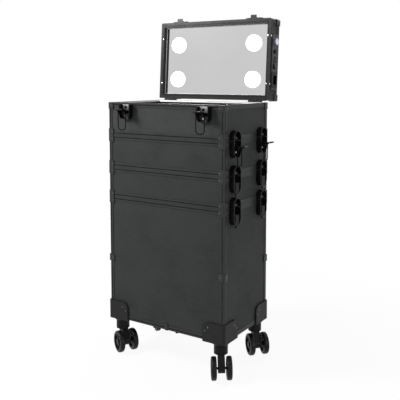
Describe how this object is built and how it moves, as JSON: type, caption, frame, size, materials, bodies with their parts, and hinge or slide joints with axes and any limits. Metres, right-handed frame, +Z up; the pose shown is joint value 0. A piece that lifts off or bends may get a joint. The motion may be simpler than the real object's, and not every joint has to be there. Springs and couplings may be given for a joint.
{
  "type": "makeup train case",
  "caption": "Rolling makeup train case: a trolley section on twin-wheel casters, stacked latched sections and a hinged lid with a lighted mirror.",
  "frame": {"origin": "on the floor under the middle of the case", "axes": "+X to the right and +Y to the back as seen from the front, +Z up"},
  "size_m": [0.4118, 0.3234, 0.906],
  "materials": {
    "panel": "fine leather-like grain",
    "profile": "satin",
    "corner_cap": "satin",
    "rivet": "satin",
    "bracket": "satin",
    "latch": "semi-gloss",
    "lever": "semi-gloss",
    "wire": "semi-gloss",
    "hinge": "semi-gloss",
    "divider": "matte lining",
    "tray": "satin",
    "mirror": "mirror",
    "board": "matte",
    "lamp": "opal",
    "controls": "satin",
    "knob": "satin",
    "button": "gloss",
    "rocker": "gloss",
    "caster": "semi-matte",
    "wheel": "semi-matte"
  },
  "bodies": {
    "case": {"trolley_panels": "panel", "third_section_panels": "panel", "second_section_panels": "panel", "top_section_panels": "panel", "edge_profiles": "profile", "corner_caps": "corner_cap", "rivets": "rivet", "corner_brackets": "bracket", "latch_plates": "latch", "case_hinge_leaves": "hinge", "section_dividers": "divider"},
    "tray": {"tray": "tray"},
    "lid": {"lid_panels": "panel", "lid_profiles": "profile", "lid_corner_caps": "corner_cap", "mirror": "mirror", "mirror_board": "board", "lamps": "lamp", "lid_catches": "latch", "lid_hinge_leaves": "hinge", "control_panel": "controls"},
    "dimmer_knob": {"dimmer_knob": "knob"},
    "push_button": {"push_button": "button"},
    "rocker_switch": {"rocker_switch": "rocker"},
    "caster_front_left": {"caster_front_left": "caster"},
    "wheels_front_left": {"wheels_front_left": "wheel"},
    "caster_front_right": {"caster_front_right": "caster"},
    "wheels_front_right": {"wheels_front_right": "wheel"},
    "caster_rear_left": {"caster_rear_left": "caster"},
    "wheels_rear_left": {"wheels_rear_left": "wheel"},
    "caster_rear_right": {"caster_rear_right": "caster"},
    "wheels_rear_right": {"wheels_rear_right": "wheel"},
    "lever_front_left": {"lever_front_left": "lever"},
    "loop_front_left": {"loop_front_left": "wire"},
    "lever_front_right": {"lever_front_right": "lever"},
    "loop_front_right": {"loop_front_right": "wire"},
    "lever_right_upper_front": {"lever_right_upper_front": "lever"},
    "loop_right_upper_front": {"loop_right_upper_front": "wire"},
    "lever_right_upper_rear": {"lever_right_upper_rear": "lever"},
    "loop_right_upper_rear": {"loop_right_upper_rear": "wire"},
    "lever_right_middle_front": {"lever_right_middle_front": "lever"},
    "loop_right_middle_front": {"loop_right_middle_front": "wire"},
    "lever_right_middle_rear": {"lever_right_middle_rear": "lever"},
    "loop_right_middle_rear": {"loop_right_middle_rear": "wire"},
    "lever_right_lower_front": {"lever_right_lower_front": "lever"},
    "loop_right_lower_front": {"loop_right_lower_front": "wire"},
    "lever_right_lower_rear": {"lever_right_lower_rear": "lever"},
    "loop_right_lower_rear": {"loop_right_lower_rear": "wire"},
    "lever_left_upper_front": {"lever_left_upper_front": "lever"},
    "loop_left_upper_front": {"loop_left_upper_front": "wire"},
    "lever_left_upper_rear": {"lever_left_upper_rear": "lever"},
    "loop_left_upper_rear": {"loop_left_upper_rear": "wire"},
    "lever_left_middle_front": {"lever_left_middle_front": "lever"},
    "loop_left_middle_front": {"loop_left_middle_front": "wire"},
    "lever_left_middle_rear": {"lever_left_middle_rear": "lever"},
    "loop_left_middle_rear": {"loop_left_middle_rear": "wire"},
    "lever_left_lower_front": {"lever_left_lower_front": "lever"},
    "loop_left_lower_front": {"loop_left_lower_front": "wire"},
    "lever_left_lower_rear": {"lever_left_lower_rear": "lever"},
    "loop_left_lower_rear": {"loop_left_lower_rear": "wire"}
  },
  "joints": [
    {"name": "lid_hinge", "type": "hinge", "parent": "case", "child": "lid", "pos_m": [0, 0.113, 0.674], "axis": [-1, 0, 0], "range_deg": [-93.8, 0]},
    {"name": "tray_lift", "type": "slide", "parent": "case", "child": "tray", "axis": [0, 0, 1], "range_m": [0, 0.08]},
    {"name": "dimmer_turn", "type": "hinge", "parent": "lid", "child": "dimmer_knob", "pos_m": [0.18, 0.1502, 0.83349], "axis": [1, 0, 0], "range_deg": [0, 270]},
    {"name": "button_press", "type": "slide", "parent": "lid", "child": "push_button", "axis": [-1, 0, 0], "range_m": [0, 0.0015], "stiffness_N_per_m": 800},
    {"name": "rocker_tip", "type": "hinge", "parent": "lid", "child": "rocker_switch", "pos_m": [0.1788, 0.14642, 0.77651], "axis": [0, 0.9978, -0.0663], "range_deg": [0, 12]},
    {"name": "swivel_front_left", "type": "hinge", "parent": "case", "child": "caster_front_left", "pos_m": [-0.1575, -0.0865, 0.06], "axis": [0, 0, 1], "continuous": true},
    {"name": "roll_front_left", "type": "hinge", "parent": "caster_front_left", "child": "wheels_front_left", "pos_m": [-0.13808, -0.09683, 0.0285], "axis": [0.4695, 0.8829, 0], "continuous": true},
    {"name": "swivel_front_right", "type": "hinge", "parent": "case", "child": "caster_front_right", "pos_m": [0.1575, -0.0865, 0.06], "axis": [0, 0, 1], "continuous": true},
    {"name": "roll_front_right", "type": "hinge", "parent": "caster_front_right", "child": "wheels_front_right", "pos_m": [0.17043, -0.1043, 0.0285], "axis": [0.809, 0.5878, 0], "continuous": true},
    {"name": "swivel_rear_left", "type": "hinge", "parent": "case", "child": "caster_rear_left", "pos_m": [-0.1575, 0.0865, 0.06], "axis": [0, 0, 1], "continuous": true},
    {"name": "roll_rear_left", "type": "hinge", "parent": "caster_rear_left", "child": "wheels_rear_left", "pos_m": [-0.14016, 0.07296, 0.0285], "axis": [0.6157, 0.788, 0], "continuous": true},
    {"name": "swivel_rear_right", "type": "hinge", "parent": "case", "child": "caster_rear_right", "pos_m": [0.1575, 0.0865, 0.06], "axis": [0, 0, 1], "continuous": true},
    {"name": "roll_rear_right", "type": "hinge", "parent": "caster_rear_right", "child": "wheels_rear_right", "pos_m": [0.17372, 0.07164, 0.0285], "axis": [0.6756, 0.7373, 0], "continuous": true},
    {"name": "lever_front_left_turn", "type": "hinge", "parent": "case", "child": "lever_front_left", "pos_m": [-0.116, -0.12, 0.6485], "axis": [-1, 0, 0], "range_deg": [-95, 0]},
    {"name": "loop_front_left_turn", "type": "hinge", "parent": "lever_front_left", "child": "loop_front_left", "pos_m": [-0.116, -0.13118, 0.64697], "axis": [-1, 0, 0], "range_deg": [0, 275]},
    {"name": "lever_front_right_turn", "type": "hinge", "parent": "case", "child": "lever_front_right", "pos_m": [0.126, -0.12, 0.6485], "axis": [-1, 0, 0], "range_deg": [-95, 0]},
    {"name": "loop_front_right_turn", "type": "hinge", "parent": "lever_front_right", "child": "loop_front_right", "pos_m": [0.126, -0.13118, 0.64697], "axis": [-1, 0, 0], "range_deg": [0, 275]},
    {"name": "lever_right_upper_front_turn", "type": "hinge", "parent": "case", "child": "lever_right_upper_front", "pos_m": [0.187, -0.067, 0.5665], "axis": [0, -1, 0], "range_deg": [-90, 0]},
    {"name": "loop_right_upper_front_turn", "type": "hinge", "parent": "lever_right_upper_front", "child": "loop_right_upper_front", "pos_m": [0.198, -0.067, 0.565], "axis": [0, -1, 0], "range_deg": [0, 270]},
    {"name": "lever_right_upper_rear_turn", "type": "hinge", "parent": "case", "child": "lever_right_upper_rear", "pos_m": [0.187, 0.067, 0.5665], "axis": [0, -1, 0], "range_deg": [-90, 0]},
    {"name": "loop_right_upper_rear_turn", "type": "hinge", "parent": "lever_right_upper_rear", "child": "loop_right_upper_rear", "pos_m": [0.198, 0.067, 0.565], "axis": [0, -1, 0], "range_deg": [0, 270]},
    {"name": "lever_right_middle_front_turn", "type": "hinge", "parent": "case", "child": "lever_right_middle_front", "pos_m": [0.187, -0.067, 0.4815], "axis": [0, -1, 0], "range_deg": [0, 90]},
    {"name": "loop_right_middle_front_turn", "type": "hinge", "parent": "lever_right_middle_front", "child": "loop_right_middle_front", "pos_m": [0.1855, -0.067, 0.4705], "axis": [0, -1, 0], "range_deg": [-270, 0]},
    {"name": "lever_right_middle_rear_turn", "type": "hinge", "parent": "case", "child": "lever_right_middle_rear", "pos_m": [0.187, 0.067, 0.4815], "axis": [0, -1, 0], "range_deg": [0, 90]},
    {"name": "loop_right_middle_rear_turn", "type": "hinge", "parent": "lever_right_middle_rear", "child": "loop_right_middle_rear", "pos_m": [0.1855, 0.067, 0.4705], "axis": [0, -1, 0], "range_deg": [-270, 0]},
    {"name": "lever_right_lower_front_turn", "type": "hinge", "parent": "case", "child": "lever_right_lower_front", "pos_m": [0.187, -0.067, 0.4025], "axis": [0, -1, 0], "range_deg": [0, 90]},
    {"name": "loop_right_lower_front_turn", "type": "hinge", "parent": "lever_right_lower_front", "child": "loop_right_lower_front", "pos_m": [0.1855, -0.067, 0.3915], "axis": [0, -1, 0], "range_deg": [-270, 0]},
    {"name": "lever_right_lower_rear_turn", "type": "hinge", "parent": "case", "child": "lever_right_lower_rear", "pos_m": [0.187, 0.067, 0.4025], "axis": [0, -1, 0], "range_deg": [0, 90]},
    {"name": "loop_right_lower_rear_turn", "type": "hinge", "parent": "lever_right_lower_rear", "child": "loop_right_lower_rear", "pos_m": [0.1855, 0.067, 0.3915], "axis": [0, -1, 0], "range_deg": [-270, 0]},
    {"name": "lever_left_upper_front_turn", "type": "hinge", "parent": "case", "child": "lever_left_upper_front", "pos_m": [-0.187, -0.067, 0.5665], "axis": [0, 1, 0], "range_deg": [0, 90]},
    {"name": "loop_left_upper_front_turn", "type": "hinge", "parent": "lever_left_upper_front", "child": "loop_left_upper_front", "pos_m": [-0.1855, -0.067, 0.5555], "axis": [0, 1, 0], "range_deg": [-270, 0]},
    {"name": "lever_left_upper_rear_turn", "type": "hinge", "parent": "case", "child": "lever_left_upper_rear", "pos_m": [-0.187, 0.067, 0.5665], "axis": [0, 1, 0], "range_deg": [0, 90]},
    {"name": "loop_left_upper_rear_turn", "type": "hinge", "parent": "lever_left_upper_rear", "child": "loop_left_upper_rear", "pos_m": [-0.1855, 0.067, 0.5555], "axis": [0, 1, 0], "range_deg": [-270, 0]},
    {"name": "lever_left_middle_front_turn", "type": "hinge", "parent": "case", "child": "lever_left_middle_front", "pos_m": [-0.187, -0.067, 0.4815], "axis": [0, 1, 0], "range_deg": [0, 90]},
    {"name": "loop_left_middle_front_turn", "type": "hinge", "parent": "lever_left_middle_front", "child": "loop_left_middle_front", "pos_m": [-0.1855, -0.067, 0.4705], "axis": [0, 1, 0], "range_deg": [-270, 0]},
    {"name": "lever_left_middle_rear_turn", "type": "hinge", "parent": "case", "child": "lever_left_middle_rear", "pos_m": [-0.187, 0.067, 0.4815], "axis": [0, 1, 0], "range_deg": [0, 90]},
    {"name": "loop_left_middle_rear_turn", "type": "hinge", "parent": "lever_left_middle_rear", "child": "loop_left_middle_rear", "pos_m": [-0.1855, 0.067, 0.4705], "axis": [0, 1, 0], "range_deg": [-270, 0]},
    {"name": "lever_left_lower_front_turn", "type": "hinge", "parent": "case", "child": "lever_left_lower_front", "pos_m": [-0.187, -0.067, 0.4025], "axis": [0, 1, 0], "range_deg": [0, 90]},
    {"name": "loop_left_lower_front_turn", "type": "hinge", "parent": "lever_left_lower_front", "child": "loop_left_lower_front", "pos_m": [-0.1855, -0.067, 0.3915], "axis": [0, 1, 0], "range_deg": [-270, 0]},
    {"name": "lever_left_lower_rear_turn", "type": "hinge", "parent": "case", "child": "lever_left_lower_rear", "pos_m": [-0.187, 0.067, 0.4025], "axis": [0, 1, 0], "range_deg": [0, 90]},
    {"name": "loop_left_lower_rear_turn", "type": "hinge", "parent": "lever_left_lower_rear", "child": "loop_left_lower_rear", "pos_m": [-0.1855, 0.067, 0.3915], "axis": [0, 1, 0], "range_deg": [-270, 0]}
  ],
  "couplings": [
    {"joint": "loop_front_left_turn", "follows": "lever_front_left_turn", "ratio": -2.8947},
    {"joint": "loop_front_right_turn", "follows": "lever_front_right_turn", "ratio": -2.8947},
    {"joint": "loop_right_upper_front_turn", "follows": "lever_right_upper_front_turn", "ratio": -3},
    {"joint": "loop_right_upper_rear_turn", "follows": "lever_right_upper_rear_turn", "ratio": -3},
    {"joint": "loop_right_middle_front_turn", "follows": "lever_right_middle_front_turn", "ratio": -3},
    {"joint": "loop_right_middle_rear_turn", "follows": "lever_right_middle_rear_turn", "ratio": -3},
    {"joint": "loop_right_lower_front_turn", "follows": "lever_right_lower_front_turn", "ratio": -3},
    {"joint": "loop_right_lower_rear_turn", "follows": "lever_right_lower_rear_turn", "ratio": -3},
    {"joint": "loop_left_upper_front_turn", "follows": "lever_left_upper_front_turn", "ratio": -3},
    {"joint": "loop_left_upper_rear_turn", "follows": "lever_left_upper_rear_turn", "ratio": -3},
    {"joint": "loop_left_middle_front_turn", "follows": "lever_left_middle_front_turn", "ratio": -3},
    {"joint": "loop_left_middle_rear_turn", "follows": "lever_left_middle_rear_turn", "ratio": -3},
    {"joint": "loop_left_lower_front_turn", "follows": "lever_left_lower_front_turn", "ratio": -3},
    {"joint": "loop_left_lower_rear_turn", "follows": "lever_left_lower_rear_turn", "ratio": -3}
  ]
}
